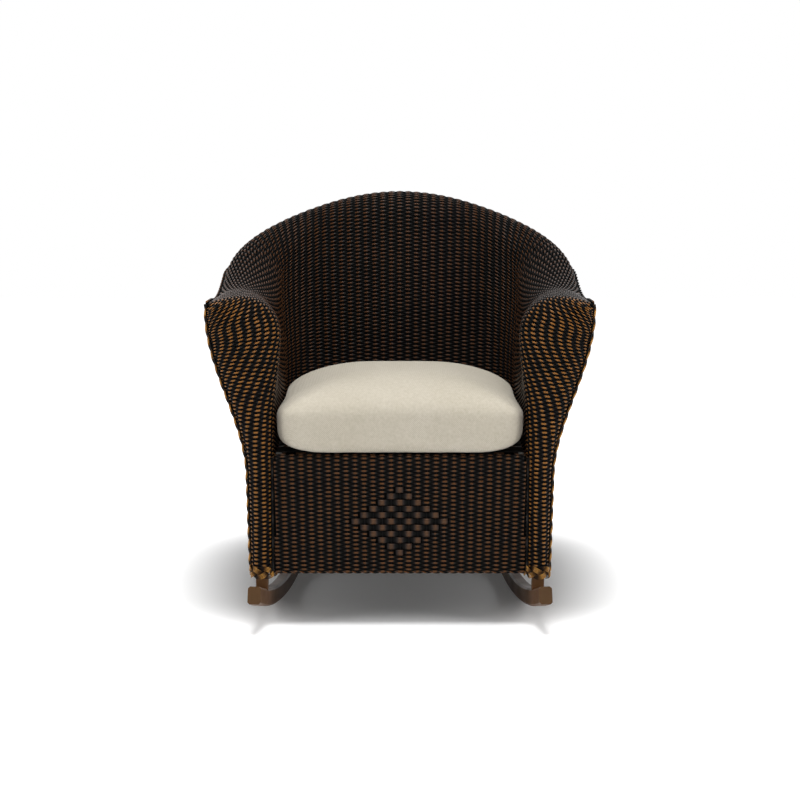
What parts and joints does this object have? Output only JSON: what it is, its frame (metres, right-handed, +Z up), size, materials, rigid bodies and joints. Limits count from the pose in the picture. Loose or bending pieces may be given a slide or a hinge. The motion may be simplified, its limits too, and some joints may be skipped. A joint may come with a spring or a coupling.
{
  "type": "rocking chair",
  "caption": "Barrel-backed woven lounge rocker on two bent tube rockers, with rolled arms, a woven front apron and one loose thick seat cushion.",
  "frame": {"origin": "on the floor under the middle of the footprint's box", "axes": "+X to the right when looking at the chair's front, +Y to the back, +Z up; the seat opens towards -Y"},
  "size_m": [0.8241, 0.8592, 0.89],
  "materials": {
    "frame_metal": "brown powder coat, satin",
    "cap_plastic": "dark brown moulded plastic",
    "strand_weave": "two-tone brown and charcoal resin strand, loom woven",
    "braid": "golden brown resin strand, braided",
    "webbing": "woven elastic webbing, dark",
    "clip_steel": "plain stamped steel",
    "cushion_fabric": "plain woven outdoor fabric, cream",
    "cushion_foam": "foam wrapped in fibre wadding"
  },
  "bodies": {
    "chair": {"rocker_left": "frame_metal", "rocker_right": "frame_metal", "rocker_end_caps": "cap_plastic", "front_post_left": "frame_metal", "front_post_right": "frame_metal", "rear_post_left": "frame_metal", "rear_post_right": "frame_metal", "seat_rail_front": "frame_metal", "seat_rail_left": "frame_metal", "seat_rail_right": "frame_metal", "seat_rail_back": "frame_metal", "rear_cross_rail": "frame_metal", "rear_brace": "frame_metal", "apron_rod": "frame_metal", "base_rod": "frame_metal", "rim_hoop": "frame_metal", "back_upright_left": "frame_metal", "back_upright_centre": "frame_metal", "back_upright_right": "frame_metal", "arm_strut_left": "frame_metal", "arm_strut_right": "frame_metal", "webbing_lengthwise": "webbing", "webbing_crosswise": "webbing", "webbing_clips": "clip_steel", "inner_weave": "strand_weave", "outer_weave": "strand_weave", "nose_weave_left": "strand_weave", "nose_weave_right": "strand_weave", "apron_weave": "strand_weave", "rim_braid": "braid", "nose_braid_left": "braid", "nose_braid_right": "braid", "base_braid": "braid"},
    "cushion": {"cushion_cover": "cushion_fabric", "cushion_core": "cushion_foam"}
  },
  "joints": [
    {"name": "cushion_slide", "type": "slide", "parent": "chair", "child": "cushion", "axis": [0, -0.9997, 0.0262], "range_m": [0, 0.52]}
  ]
}
